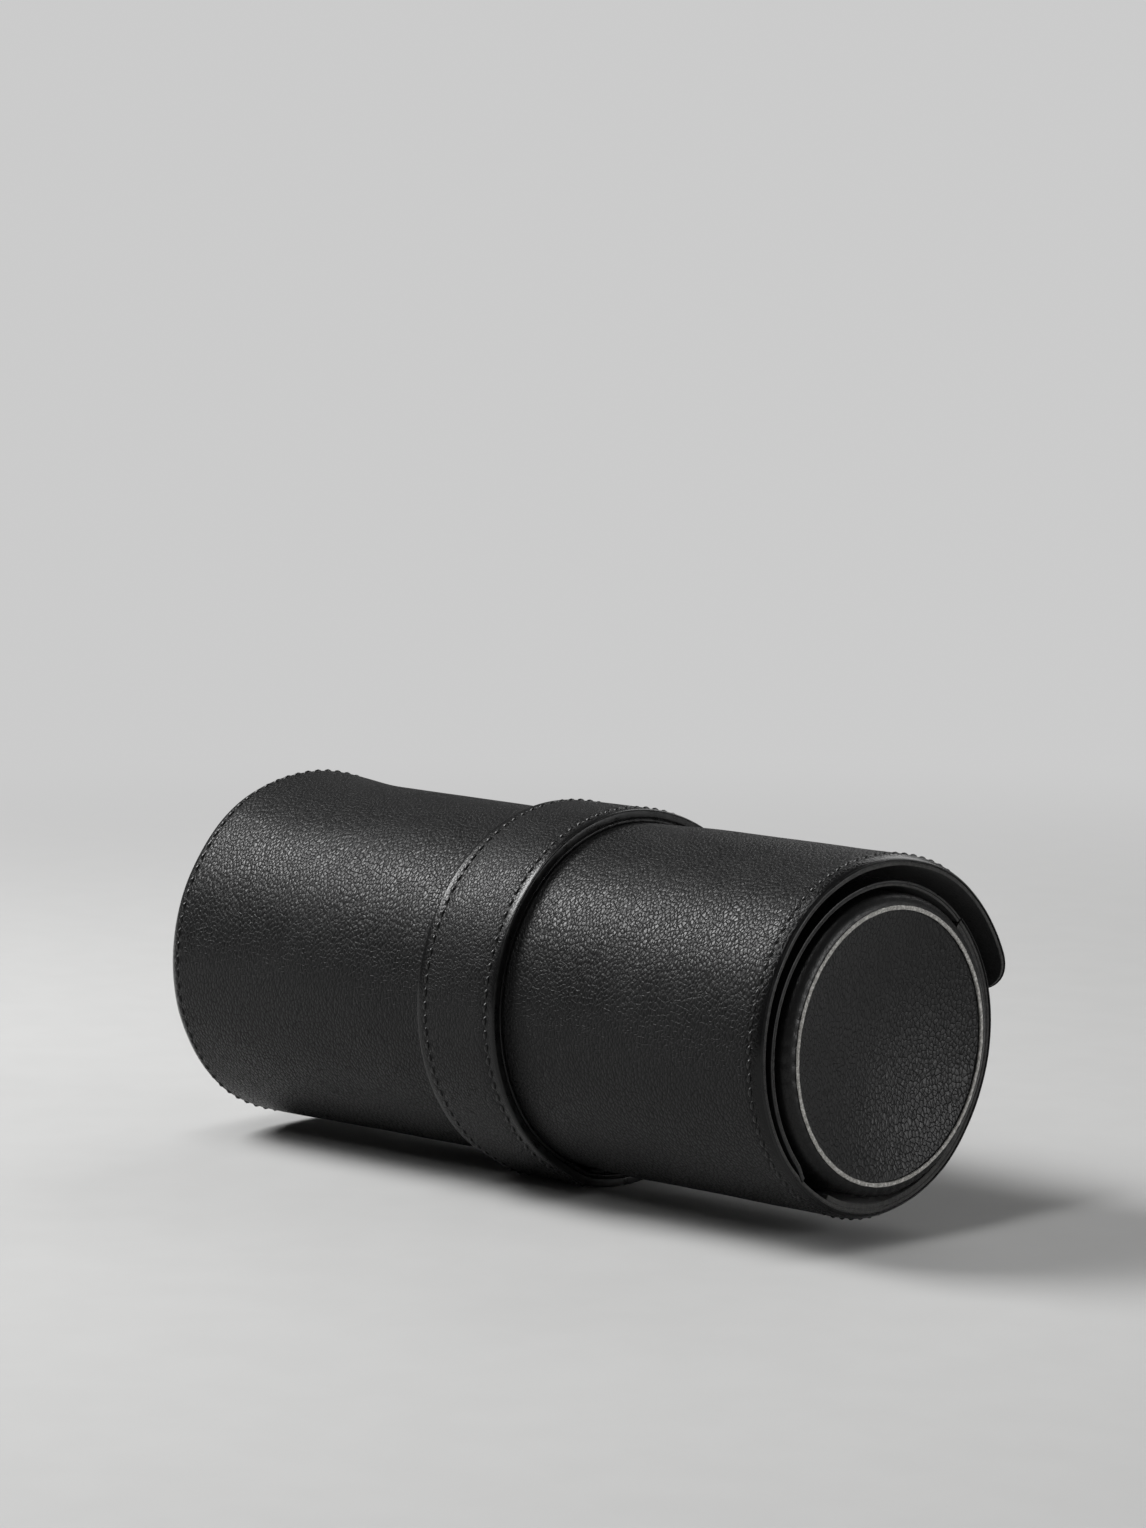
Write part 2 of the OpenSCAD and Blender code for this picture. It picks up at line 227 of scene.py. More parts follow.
def mixColours(tree, factor, a, b):
    made = addNode(tree, "ShaderNodeMix", {"data_type": "RGBA"})
    for socket, value in ((made.inputs[0], factor), (made.inputs[6], a), (made.inputs[7], b)):
        if isinstance(value, bpy.types.NodeSocket):
            tree.links.new(value, socket)
        else:
            socket.default_value = value
    return made.outputs[2]


def newGroup(name, inputs, outputs):
    tree = bpy.data.node_groups.new(name, "ShaderNodeTree")
    for label, kind, value in inputs:
        socket = tree.interface.new_socket(name=label, in_out="INPUT", socket_type=kind)
        if value is not None:
            socket.default_value = value
    for label, kind in outputs:
        tree.interface.new_socket(name=label, in_out="OUTPUT", socket_type=kind)
    return tree, tree.nodes.new("NodeGroupInput"), tree.nodes.new("NodeGroupOutput")


def bend(tree, place, scale, reach):
    slow = addNode(tree, "ShaderNodeTexNoise", feeds={"Vector": place, "Scale": scale, "Detail": 2.0})
    centred = vectorMath(tree, "SUBTRACT", slow.outputs["Color"], (0.5, 0.5, 0.5))
    away = vectorMath(tree, "MULTIPLY", centred, (reach, reach, reach))
    return vectorMath(tree, "ADD", place, away)


def cellDistance(tree, place, cells, shape, feature="DISTANCE_TO_EDGE"):
    turn, stretch, size = shape
    turned = addNode(tree, "ShaderNodeMapping", feeds={
        "Vector": place, "Rotation": (0, 0, math.radians(turn)), "Scale": (size, size * stretch, size)})
    return addNode(tree, "ShaderNodeTexVoronoi", {"feature": feature, "voronoi_dimensions": "2D"}, {
        "Vector": turned.outputs[0], "Scale": cells, "Randomness": 0.9}).outputs["Distance"]


def closed(tree, opened, share):
    return doMath(tree, "MULTIPLY", doMath(tree, "SUBTRACT", 1.0, opened), share)


pebbles = {
    "slowBend": (55.0, 0.004), "quickBend": (800.0, 0.0007),  # scale and reach
    "main": (40, 0.7, 1.0), "fine": (-20, 0.8, 1.7), "drawn": (-52, 0.24, 0.5),  # turn, stretch and size
    "patchScale": 150.0, "gritScale": 2400.0, "toneScale": 26.0, "drawnWidth": 0.7,
    "dome": 0.3, "step": 0.34, "fineDepth": -0.1, "drawnDepth": -0.3, "grit": 0.06,
    "drawnMark": 0.5, "fineMark": 0.3, "domeReach": 0.75, "toneRange": (0.3, 0.7),
    "fineShare": (0.4, 0.6, 0.25, 1.0), "drawnShare": (0.6, 0.42, 0.3, 1.0),
}


def makePebbleGrain():
    tree, given, result = newGroup(
        "pebbleGrain",
        [("Vector", "NodeSocketVector", None), ("Cells per Metre", "NodeSocketFloat", 520.0),
         ("Crease Width", "NodeSocketFloat", 0.14), ("Smoothed", "NodeSocketFloat", 0.0)],
        [("Height", "NodeSocketFloat"), ("Crease", "NodeSocketFloat"), ("Tone", "NodeSocketFloat")],
    )
    link = tree.links.new
    place, cells, width = (given.outputs[label] for label in ("Vector", "Cells per Metre", "Crease Width"))
    bent = bend(tree, bend(tree, place, *pebbles["slowBend"]), *pebbles["quickBend"])
    domed = cellDistance(tree, bent, cells, pebbles["main"], "F1")
    mainOpen = mapTo(tree, cellDistance(tree, bent, cells, pebbles["main"]), 0.0, width)
    fineOpen = mapTo(tree, cellDistance(tree, bent, cells, pebbles["fine"]), 0.0, width)
    drawnWidth = doMath(tree, "MULTIPLY", width, pebbles["drawnWidth"])
    drawnOpen = mapTo(tree, cellDistance(tree, bent, cells, pebbles["drawn"]), 0.0, drawnWidth)
    patchy = cloud(tree, bent, pebbles["patchScale"], 1.0)
    fineShut = closed(tree, fineOpen, mapTo(tree, patchy, *pebbles["fineShare"]))
    drawnShut = closed(tree, drawnOpen, mapTo(tree, patchy, *pebbles["drawnShare"]))
    height = doMath(tree, "MULTIPLY", mapTo(tree, domed, pebbles["domeReach"], 0.0), pebbles["dome"])
    height = doMath(tree, "MULTIPLY_ADD", mainOpen, pebbles["step"], height)
    height = doMath(tree, "MULTIPLY_ADD", fineShut, pebbles["fineDepth"], height)
    height = doMath(tree, "MULTIPLY_ADD", drawnShut, pebbles["drawnDepth"], height)
    grit = cloud(tree, bent, pebbles["gritScale"], 2.0)
    height = doMath(tree, "MULTIPLY_ADD", grit, pebbles["grit"], height)
    keep = doMath(tree, "SUBTRACT", 1.0, given.outputs["Smoothed"], clamp=True)
    link(doMath(tree, "MULTIPLY", height, keep), result.inputs["Height"])
    # The crease mask: the leathers paint shade into the creases with it and also make them rougher.
    creaseShade = doMath(tree, "SUBTRACT", 1.0, mainOpen)
    creaseShade = doMath(tree, "MULTIPLY_ADD", drawnShut, pebbles["drawnMark"], creaseShade)
    creaseShade = doMath(tree, "MULTIPLY_ADD", fineShut, pebbles["fineMark"], creaseShade)
    link(doMath(tree, "MULTIPLY", creaseShade, keep, clamp=True), result.inputs["Crease"])
    tone = cloud(tree, place, pebbles["toneScale"], 3.0)
    link(mapTo(tree, tone, *pebbles["toneRange"]), result.inputs["Tone"])
    return tree


fibres = {"detail": 4.0, "rough": 0.7, "seen": (0.38, 0.66), "strokeScale": 34.0, "stroke": (0.36, 0.64)}


def makeNap():
    tree, given, result = newGroup(
        "nap",
        [("Vector", "NodeSocketVector", None), ("Fineness", "NodeSocketFloat", 1500.0)],
        [("Height", "NodeSocketFloat"), ("Fibre", "NodeSocketFloat"), ("Tone", "NodeSocketFloat")],
    )
    link, place = tree.links.new, given.outputs["Vector"]
    fibre = addNode(tree, "ShaderNodeTexNoise", feeds={
        "Vector": place, "Scale": given.outputs["Fineness"], "Detail": fibres["detail"],
        "Roughness": fibres["rough"]}).outputs["Fac"]
    link(fibre, result.inputs["Height"])
    link(mapTo(tree, fibre, *fibres["seen"]), result.inputs["Fibre"])
    stroked = cloud(tree, place, fibres["strokeScale"], fibres["detail"])
    link(mapTo(tree, stroked, *fibres["stroke"]), result.inputs["Tone"])
    return tree


pebbleGrain = makePebbleGrain()
nap = makeNap()


def newMaterial(name):
    made = bpy.data.materials.new(name)
    made.use_nodes = True
    tree = made.node_tree
    return made, tree, tree.nodes["Principled BSDF"]


def ownMap(tree):
    return addNode(tree, "ShaderNodeUVMap", {"uv_map": "flatMap"}).outputs["UV"]


def objectMap(tree):
    return addNode(tree, "ShaderNodeTexCoord").outputs["Object"]


def addBump(tree, shader, height, depth, strength):
    bump = addNode(tree, "ShaderNodeBump", feeds={"Strength": strength, "Distance": depth, "Height": height})
    tree.links.new(bump.outputs[0], shader.inputs["Normal"])


def setLevels(shader, look):
    shader.inputs["Roughness"].default_value = look["roughness"]
    shader.inputs["Specular IOR Level"].default_value = look["specular"]


def makeLeather(name, look):
    made, tree, shader = newMaterial(name)
    setLevels(shader, look)
    border = addNode(tree, "ShaderNodeAttribute", {"attribute_name": "border"}).outputs["Fac"]
    groove = addNode(tree, "ShaderNodeAttribute", {"attribute_name": "groove"}).outputs["Fac"]
    grain = addNode(tree, "ShaderNodeGroup", {"node_tree": pebbleGrain}, {
        "Vector": ownMap(tree), "Cells per Metre": look["cells"], "Crease Width": look["creaseWidth"],
        "Smoothed": doMath(tree, "MULTIPLY", border, look["borderSmooth"])}).outputs
    colour = mixColours(tree, grain["Tone"], look["colour"], look["second"])
    # Painted shade: the colour is mixed towards a dark colour in the creases.
    creaseShadeMix = doMath(tree, "MULTIPLY", grain["Crease"], look["creaseShadeShare"])
    colour = mixColours(tree, creaseShadeMix, colour, look["creaseShade"])
    # Painted shade in the stitch groove, with the same dark colour as the creases.
    colour = mixColours(tree, doMath(tree, "MULTIPLY", groove, look["grooveShade"]), colour, look["creaseShade"])
    tree.links.new(colour, shader.inputs["Base Color"])
    rough = doMath(tree, "MULTIPLY_ADD", grain["Crease"], look["creaseRough"], look["roughness"])
    rough = doMath(tree, "MULTIPLY_ADD", grain["Tone"], look["toneRough"], rough)
    rough = doMath(tree, "MULTIPLY_ADD", border, -look["borderShine"], rough)
    tree.links.new(rough, shader.inputs["Roughness"])
    addBump(tree, shader, grain["Height"], look["depth"], look["bump"])
    return made


def makeSuede(name, look, useMap=True):
    made, tree, shader = newMaterial(name)
    setLevels(shader, look)
    place = ownMap(tree) if useMap else objectMap(tree)
    fuzz = addNode(tree, "ShaderNodeGroup", {"node_tree": nap}, {
        "Vector": place, "Fineness": look["fineness"]}).outputs
    colour = mixColours(tree, fuzz["Tone"], look["colour"], look["second"])
    fibreShare = doMath(tree, "MULTIPLY", fuzz["Fibre"], look["fibreMark"])
    colour = mixColours(tree, fibreShare, colour, look["fibre"])
    tree.links.new(colour, shader.inputs["Base Color"])
    addBump(tree, shader, fuzz["Height"], look["depth"], look["bump"])
    shader.inputs["Sheen Weight"].default_value = look["sheen"]
    shader.inputs["Sheen Roughness"].default_value = look["sheenRough"]
    return made


def makeEdgePaint(name, look):
    made, tree, shader = newMaterial(name)
    setLevels(shader, look)
    wavy = cloud(tree, objectMap(tree), look["scale"], 3.0)
    colour = mixColours(tree, mapTo(tree, wavy, 0.35, 0.65), look["colour"], look["second"])
    tree.links.new(colour, shader.inputs["Base Color"])
    low, high = look["roughness"] - look["smoother"], look["roughness"] + look["rougher"]
    rough = mapTo(tree, wavy, 0.3, 0.7, low, high)
    tree.links.new(rough, shader.inputs["Roughness"])
    addBump(tree, shader, wavy, look["depth"], look["bump"])
    return made


def makeThread(name, look):
    made, tree, shader = newMaterial(name)
    setLevels(shader, look)
    shader.inputs["Base Color"].default_value = look["colour"]
    return made


def makeCutEdge(name, look):
    made, tree, shader = newMaterial(name)
    setLevels(shader, look)
    place = objectMap(tree)
    fuzz = addNode(tree, "ShaderNodeGroup", {"node_tree": nap}, {
        "Vector": place, "Fineness": look["fineness"]}).outputs
    colour = mixColours(tree, fuzz["Fibre"], look["dark"], look["colour"])
    blotch = mapTo(tree, cloud(tree, place, look["blotchScale"], 3.0), *look["blotch"])
    tree.links.new(mixColours(tree, blotch, colour, look["light"]), shader.inputs["Base Color"])
    addBump(tree, shader, fuzz["Height"], look["depth"], look["bump"])
    return made


wrapLook = {
    "colour": (0.0045, 0.0045, 0.0047, 1), "second": (0.007, 0.007, 0.0072, 1),
    # The dark colour below is painted shade, for the creases and for the stitch groove.
    "creaseShade": (0.0012, 0.0012, 0.0013, 1), "creaseShadeShare": 0.75, "grooveShade": 0.7,
    "cells": 1150.0, "creaseWidth": 0.16, "borderSmooth": 0.95,
    "roughness": 0.3, "creaseRough": 0.4, "toneRough": 0.05, "borderShine": 0.14,
    "bump": 1.0, "depth": 0.0002, "specular": 0.27,
}
strapLook = dict(wrapLook, cells=1300.0, depth=0.00016)
dishLook = dict(wrapLook, cells=1050.0, creaseWidth=0.12, depth=0.00014, roughness=0.36)
coverLook = dict(wrapLook, cells=1100.0, creaseWidth=0.08, depth=0.00006, roughness=0.34, bump=0.5)
leafLook = dict(wrapLook, cells=900.0, depth=0.0001, roughness=0.42)
suedeLook = {
    "colour": (0.013, 0.013, 0.0135, 1), "second": (0.021, 0.021, 0.0215, 1), "fibre": (0.04, 0.04, 0.041, 1),
    "fineness": 1500.0, "depth": 0.00018, "bump": 0.8, "roughness": 0.93, "specular": 0.2,
    "sheen": 0.12, "sheenRough": 0.5, "fibreMark": 0.5,
}
suedeEdgeLook = dict(
    suedeLook, colour=(0.02, 0.02, 0.02, 1), second=(0.04, 0.04, 0.039, 1), fibre=(0.08, 0.078, 0.076, 1))
paintLook = {
    "colour": (0.006, 0.006, 0.0061, 1), "second": (0.01, 0.01, 0.0101, 1),
    "scale": 420.0, "roughness": 0.32, "smoother": 0.06, "rougher": 0.08, "specular": 0.3,
    "depth": 0.00012, "bump": 0.5,
}
threadLook = {"colour": (0.006, 0.006, 0.0061, 1), "roughness": 0.3, "specular": 0.5}
rawLook = {
    "dark": (0.24, 0.235, 0.22, 1), "colour": (0.43, 0.42, 0.4, 1), "light": (0.58, 0.57, 0.545, 1),
    "fineness": 2300.0, "blotchScale": 1500.0, "blotch": (0.45, 0.7), "depth": 0.00025, "bump": 1.0,
    "roughness": 0.9, "specular": 0.3,
}

wrapLeather = makeLeather("wrapLeather", wrapLook)
strapLeather = makeLeather("strapLeather", strapLook)
dishLeather = makeLeather("dishLeather", dishLook)
coverLeather = makeLeather("coverLeather", coverLook)
leafLeather = makeLeather("leafLeather", leafLook)
suede = makeSuede("suede", suedeLook)
suedeEdge = makeSuede("suedeEdge", suedeEdgeLook, useMap=False)
edgePaint = makeEdgePaint("edgePaint", paintLook)
waxedThread = makeThread("waxedThread", threadLook)
rawEdge = makeCutEdge("rawEdge", rawLook)
print("leathers ready")


# Cutting, rolling and sewing

cutting = {
    "closest": 0.4, "margin": 0.03,  # how near a mark may come to an exact one, in steps, and to an edge
    "cornerSteps": 12, "rimSteps": 4, "rimGap": 0.05, "flat": 0.93, "seamMark": 0.35,
    "border": (0.4, 2.8), "grooveWidth": 0.5, "grooveMarks": (-0.62, -0.3, 0.0, 0.3, 0.62),
}


def spots(low, high, step, exact=()):
    count = max(1, round((high - low) / step))
    even = [low + (high - low) * i / count for i in range(1, count)]
    even = [m for m in even if all(abs(m - e) > cutting["closest"] * step for e in exact)]
    return sorted(m for m in even + list(exact) if low + cutting["margin"] < m < high - cutting["margin"])


def edgeDistance(cut, x, s):
    dx = min(x - cut["x0"], cut["x1"] - x)
    ds = 1000.0
    if cut["openLow"]:
        ds = s - cut["s0"]
    if cut["openHigh"]:
        ds = min(ds, cut["s1"] - s)
    r = cut["cornerR"]
    if dx < r and ds < r:
        return r - math.hypot(r - dx, r - ds)
    return min(dx, ds)


def cutAcross(bm, places, normal):
    for place in places:
        everything = bm.verts[:] + bm.edges[:] + bm.faces[:]
        bmesh.ops.bisect_plane(bm, geom=everything, dist=1e-4, plane_co=place * normal, plane_no=normal)


def cutSheet(cut):
    bm = bmesh.new()
    outline = [(cut["x0"], cut["s0"]), (cut["x1"], cut["s0"]), (cut["x1"], cut["s1"]), (cut["x0"], cut["s1"])]
    bm.faces.new([bm.verts.new((x, s, cut["outer"])) for x, s in outline])
    if cut["cornerR"]:
        tips = [v for v in bm.verts if (cut["openLow"] and v.co.y < cut["s0"] + 0.01)
                or (cut["openHigh"] and v.co.y > cut["s1"] - 0.01)]
        bmesh.ops.bevel(bm, geom=tips, offset=cut["cornerR"], segments=cutting["cornerSteps"], profile=0.5,
                        affect="VERTICES", material=-1)
    made = bmesh.ops.extrude_face_region(bm, geom=bm.faces[:], use_keep_orig=True)
    lower = [v for v in made["geom"] if isinstance(v, bmesh.types.BMVert)]
    bmesh.ops.translate(bm, verts=lower, vec=(0, 0, cut["inner"] - cut["outer"]))
    bmesh.ops.recalc_face_normals(bm, faces=bm.faces)

    def joined(e):
        atLow = not cut["openLow"] and all(v.co.y < cut["s0"] + 0.001 for v in e.verts)
        return atLow or (not cut["openHigh"] and all(v.co.y > cut["s1"] - 0.001 for v in e.verts))

    thickness = cut["outer"] - cut["inner"]
    lowerRounding = min(cut["rounding"], thickness - cut["rounding"] - cutting["rimGap"])
    for h, rounding in ((cut["outer"], cut["rounding"]), (cut["inner"], lowerRounding)):
        rims = [e for e in bm.edges if all(abs(v.co.z - h) < 1e-5 for v in e.verts) and not joined(e)]
        bmesh.ops.bevel(bm, geom=rims, offset=rounding, segments=cutting["rimSteps"], profile=0.5,
                        affect="EDGES", material=-1)
    bmesh.ops.recalc_face_normals(bm, faces=bm.faces)
    for face in bm.faces:
        up = face.normal.z
        face.material_index = 0 if up > cutting["flat"] else 1 if up < -cutting["flat"] else 2
    cutAcross(bm, cut["cutsX"], Vector((1, 0, 0)))
    cutAcross(bm, cut["cutsS"], Vector((0, 1, 0)))
    return bm


def rollUp(bm, cut):
    kind, span = cut["kind"], cut["outer"] - cut["inner"]
    flatMap = bm.loops.layers.uv.new("flatMap")
    border = bm.verts.layers.float.new("border")
    groove = bm.verts.layers.float.new("groove")
    for face in bm.faces:
        for loop in face.loops:
            co = loop.vert.co
            loop[flatMap].uv = (co.x * 0.001, (co.y + cut["mapShift"]) * 0.001)
    for v in bm.verts:
        x, s, h = v.co
        top = (h - cut["inner"]) / span
        near = edgeDistance(cut, x, s)
        v[border] = 1 - rise(near, *cutting["border"])
        if cut["sewn"]:
            # groove marks the stitch channel: it sinks the leather there, and the leathers paint shade into
            # it.
            v[groove] = math.exp(-(((near - cut["sewn"]) / cutting["grooveWidth"]) ** 2))
            pressed = cut["pressed"] * max(0.0, 1 - near / cut["sewn"]) ** roll["borderCurve"]
            h -= top * (pressed + cut["grooveDepth"] * v[groove])
        h += cut["crown"](x, s, top) if "crown" in cut else 0.0
        v.co = onRoll(kind, x, angleAt(kind, s), h)
    bmesh.ops.reverse_faces(bm, faces=bm.faces)


def toPiece(bm, name, materials, sharp=42):
    data = bpy.data.meshes.new(name)
    bm.to_mesh(data)
    bm.free()
    for m in materials:
        data.materials.append(m)
    data.polygons.foreach_set("use_smooth", [True] * len(data.polygons))
    data.set_sharp_from_angle(angle=math.radians(sharp))
    piece = bpy.data.objects.new(name, data)
    bpy.context.scene.collection.objects.link(piece)
    return piece


folds = {
    "front": {"a": "base", "b": "flap_front", "start": sectionPoint(252), "end": sectionPoint(212)},
    "top": {"a": "flap_front", "b": "flap_top", "start": sectionPoint(140), "end": sectionPoint(100)},
    "leaf": {"a": "base", "b": "upper_leaf", "start": (0.0, 0.0245, 0.0), "end": (0.0, 0.0185, 0.0)},
}


def fix(piece, hold, nodes):
    if hold in folds:
        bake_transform(piece)
    else:
        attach(piece, hold)
    if nodes:
        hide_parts(*nodes)


def sheetPiece(name, cut, materials, hold, nodes):
    bm = cutSheet(cut)
    rollUp(bm, cut)
    piece = toPiece(bm, name, materials)
    fix(piece, hold, nodes)


# The wrap

wrap = {
    "leather": 1.1, "lining": 0.9, "leaf": 1.2, "cornerR": 10.0, "rounding": 0.65, "stitchInset": 3.0,
    "pressed": 0.6, "grooveDepth": 0.22, "stepX": 2.3, "stepS": 1.5, "mapShift": 0.0,
    "liningInset": 0.25, "liningRounding": 0.25, "liningStep": 1.6,
    "rimMarks": (0.8, 1.4, 2.0), "innerMarks": (1.3, 2.2, 3.2), "cornerMarks": (7.2, 8.4, 9.6, 10.8),
}
leftX, rightX = roll["leftX"], roll["rightX"]
wrapSeam, innerSeam = arcAt("wrap", roll["seam"]), arcAt("wrap", roll["innerSeam"])
wrapEnd = arcAt("wrap", roll["endAngle"])


def edgeMarks(edge, inward, row):
    besideRow = [row + d for d in cutting["grooveMarks"] + wrap["innerMarks"]]
    return [edge + inward * d for d in [*wrap["rimMarks"], *besideRow]]


def wrapCut(low, high, openLow, openHigh, outer, inner, sewn, fine=True):
    inset = 0.0 if outer > -0.5 * wrap["leather"] else wrap["liningInset"]
    x0, x1 = leftX + inset, rightX - inset
    exactX, exactS = [], []
    if sewn:
        exactX = edgeMarks(x0, 1, sewn) + edgeMarks(x1, -1, sewn)
        if openLow:
            exactX += [x0 + d for d in wrap["cornerMarks"]] + [x1 - d for d in wrap["cornerMarks"]]
            exactS += edgeMarks(low, 1, sewn) + [low + d for d in wrap["cornerMarks"]]
    exactS += [low + cutting["seamMark"]] * (not openLow) + [high - cutting["seamMark"]] * (not openHigh)
    step = 1.0 if fine else wrap["liningStep"]
    return {
        "kind": "wrap", "x0": x0, "x1": x1, "s0": low + inset * openLow, "s1": high - inset * openHigh,
        "openLow": openLow, "openHigh": openHigh, "outer": outer, "inner": inner,
        "cornerR": wrap["cornerR"] - inset if openLow else 0.0,
        "rounding": wrap["rounding"] if fine else wrap["liningRounding"],
        "cutsX": spots(x0, x1, wrap["stepX"] * step, exactX),
        "cutsS": spots(low, high, wrap["stepS"] * step, exactS),
        "sewn": sewn, "pressed": wrap["pressed"], "grooveDepth": wrap["grooveDepth"],
        "mapShift": wrap["mapShift"],
    }


underLeather = -wrap["leather"]
underLining = underLeather - wrap["lining"]
underLeaf = underLining - wrap["leaf"]
leatherFaces = [wrapLeather, suede, edgePaint]
liningFaces = [suede, suede, suedeEdge]
wrapParts = [
    ("Upper", "top", (0.0, wrapSeam, True, False)),
    ("Lower", "front", (wrapSeam, innerSeam, False, False)),
    ("Inner", "base", (innerSeam, wrapEnd, False, True)),
]
for label, hold, reach in wrapParts:
    sheetPiece("wrap" + label, wrapCut(*reach, 0.0, underLeather, wrap["stitchInset"]), leatherFaces, hold,
               ["wrap_leather_" + hold])
print("wrap leather rolled")
for label, hold, reach in wrapParts:
    sheetPiece("lining" + label, wrapCut(*reach, underLeather, underLining, 0, False), liningFaces, hold,
               ["wrap_lining_" + hold])
leafCut = wrapCut(arcAt("wrap", roll["lowerLeafFrom"]), wrapEnd, True, True, underLining, underLeaf, 0, False)
leafCut["cornerR"] = 0.0
sheetPiece("lowerLeaf", leafCut, liningFaces, "base", ["lower_leaf"])
print("wrap lining and lower leaf rolled")


# The upper leaf

leaf = {
    "ply": roll["leafThickness"] / 2, "rounding": 0.18, "liningInset": 0.12, "mapShift": 400.0,
    "hook": 1.0, "hookLength": 5.0, "hookMarks": (0.7, 1.4, 2.1, 2.8, 3.5, 4.2, 5.0),
    "stepX": 3.4, "stepS": 2.2,
}
leafStart, leafStop = arcAt("leaf", roll["leafRoot"]), arcAt("leaf", roll["leafTip"])


def leafHook(x, s, top):
    return leaf["hook"] * soft((s - leafStop + leaf["hookLength"]) / leaf["hookLength"]) ** 2


def leafSheet(outer, inner, inset):
    x0, x1 = leftX + inset, rightX - inset
    low, high = leafStart, leafStop - inset
    return {
        "kind": "leaf", "x0": x0, "x1": x1, "s0": low, "s1": high, "openLow": True, "openHigh": True,
        "outer": outer, "inner": inner, "cornerR": 0.0, "rounding": leaf["rounding"],
        "cutsX": spots(x0, x1, leaf["stepX"]),
        "cutsS": spots(low, high, leaf["stepS"], [high - d for d in leaf["hookMarks"]]),
        "sewn": 0, "mapShift": leaf["mapShift"], "crown": leafHook,
    }


leafFaces = [leafLeather, suede, edgePaint]
sheetPiece("upperLeafOuter", leafSheet(2 * leaf["ply"], leaf["ply"], 0.0), leafFaces, "leaf",
           ["upper_leaf_leather"])
sheetPiece("upperLeafInner", leafSheet(leaf["ply"], 0.0, leaf["liningInset"]), liningFaces, "leaf",
           ["upper_leaf_lining"])
print("upper leaf rolled")


# The strap

strap = {
    "width": 24.5, "lining": 0.9, "rounding": 0.5, "cornerR": 4.0, "stitchInset": 2.7, "crown": 0.14,
    "stepX": 1.9, "stepS": 1.4, "pressed": 0.1, "grooveDepth": 0.17, "mapShift": 700.0,
    "liningRounding": 0.3, "liningInset": 0.12, "patchInset": 0.2, "patchStep": 2.0,
    "rimMark": 0.9, "endMarks": (0.9, 2.0, 2.7, 3.4, 4.4),
}
half = strap["width"] / 2
strapSeam, strapStop = arcAt("strap", roll["seam"]), arcAt("strap", roll["strapEnd"])


def strapCrown(x, s, top):
    return strap["crown"] * top * (1 - (x / half) ** 2)


def strapCut(low, high, openLow, openHigh, outer, inner, rounding, sewn, inset=0.0):
    x0, x1 = -half + inset, half - inset
    exactX = [x0 + strap["rimMark"], x1 - strap["rimMark"]]
    if sewn:
        exactX += [side * (half - sewn + d) for side in (-1, 1) for d in cutting["grooveMarks"]]
    exactS = [low + d for d in (strap["endMarks"] if openLow else [cutting["seamMark"]])]
    exactS += [high - d for d in (strap["endMarks"] if openHigh else [cutting["seamMark"]])]
    return {
        "kind": "strap", "x0": x0, "x1": x1, "s0": low, "s1": high, "openLow": openLow, "openHigh": openHigh,
        "outer": outer, "inner": inner, "cornerR": strap["cornerR"], "rounding": rounding,
        "cutsX": spots(x0, x1, strap["stepX"], exactX), "cutsS": spots(low, high, strap["stepS"], exactS),
        "sewn": sewn, "pressed": strap["pressed"], "grooveDepth": strap["grooveDepth"],
        "mapShift": strap["mapShift"], "crown": strapCrown,
    }


strapFaces = [strapLeather, suede, edgePaint]
strapTop, strapBed = roll["strapThickness"], strap["lining"]
strapParts = [
    ("Upper", "top", (0.0, strapSeam, True, False), ["top"]),
    ("Lower", "front", (strapSeam, strapStop, False, True), ["front", "base"]),
]
for label, hold, reach, ends in strapParts:
    cut = strapCut(*reach, strapTop, strapBed, strap["rounding"], strap["stitchInset"])
    nodes = [node + end for end in ends for node in ("strap_leather_", "strap_stiffener_")]
    sheetPiece("strap" + label, cut, strapFaces, hold, nodes)
for label, hold, reach, ends in strapParts:
    cut = strapCut(*reach, strapBed, 0.0, strap["liningRounding"], 0, strap["liningInset"])
    nodes = ["strap_lining_" + end for end in ends]
    sheetPiece("strapLining" + label, cut, [suede, suede, edgePaint], hold, nodes)
patchLow, patchHigh = arcAt("wrap", roll["patchFrom"]), arcAt("wrap", roll["patchTo"])
patchCut = wrapCut(patchLow, patchHigh, True, True, roll["patch"], 0.0, 0, False)
patchCut.update({
    "x0": -half + strap["patchInset"], "x1": half - strap["patchInset"], "cornerR": 0.0,
    "cutsX": spots(-half, half, strap["patchStep"])})
sheetPiece("strapPatch", patchCut, strapFaces, "base", ["strap_patch"])
print("strap rolled")


# The stitching

stitch = {
    "pitch": 3.03, "first": 1.2, "length": 2.5, "width": 0.8, "height": 0.7, "slant": 9.0, "dip": 0.42,
    "stand": 0.2, "sides": 8, "rings": 6,
    "wrapStop": 1.0,  # the rows stop this far before the wrap's inner end
    "endRow": (-6.0, -3.0, 0.0, 3.0, 6.0),  # across the strap's fixed end
    "footFrom": 256.0, "footTo": 284.0,  # no stitches where the strap lies under the roll
}


def sewingPath(x0, x1, high, sheet):
    inset, cornerR = sheet["stitchInset"], sheet["cornerR"]
    r = cornerR - inset
    path = [(x1 - inset, high), (x1 - inset, cornerR)]
    for cx, start in ((x1 - cornerR, 0), (x0 + cornerR, -90)):
        for turned in range(0, 91, 15):
            t = math.radians(start - turned)
            path.append((cx + r * math.cos(t), cornerR + r * math.sin(t)))
    path.append((x0 + inset, high))
    return path


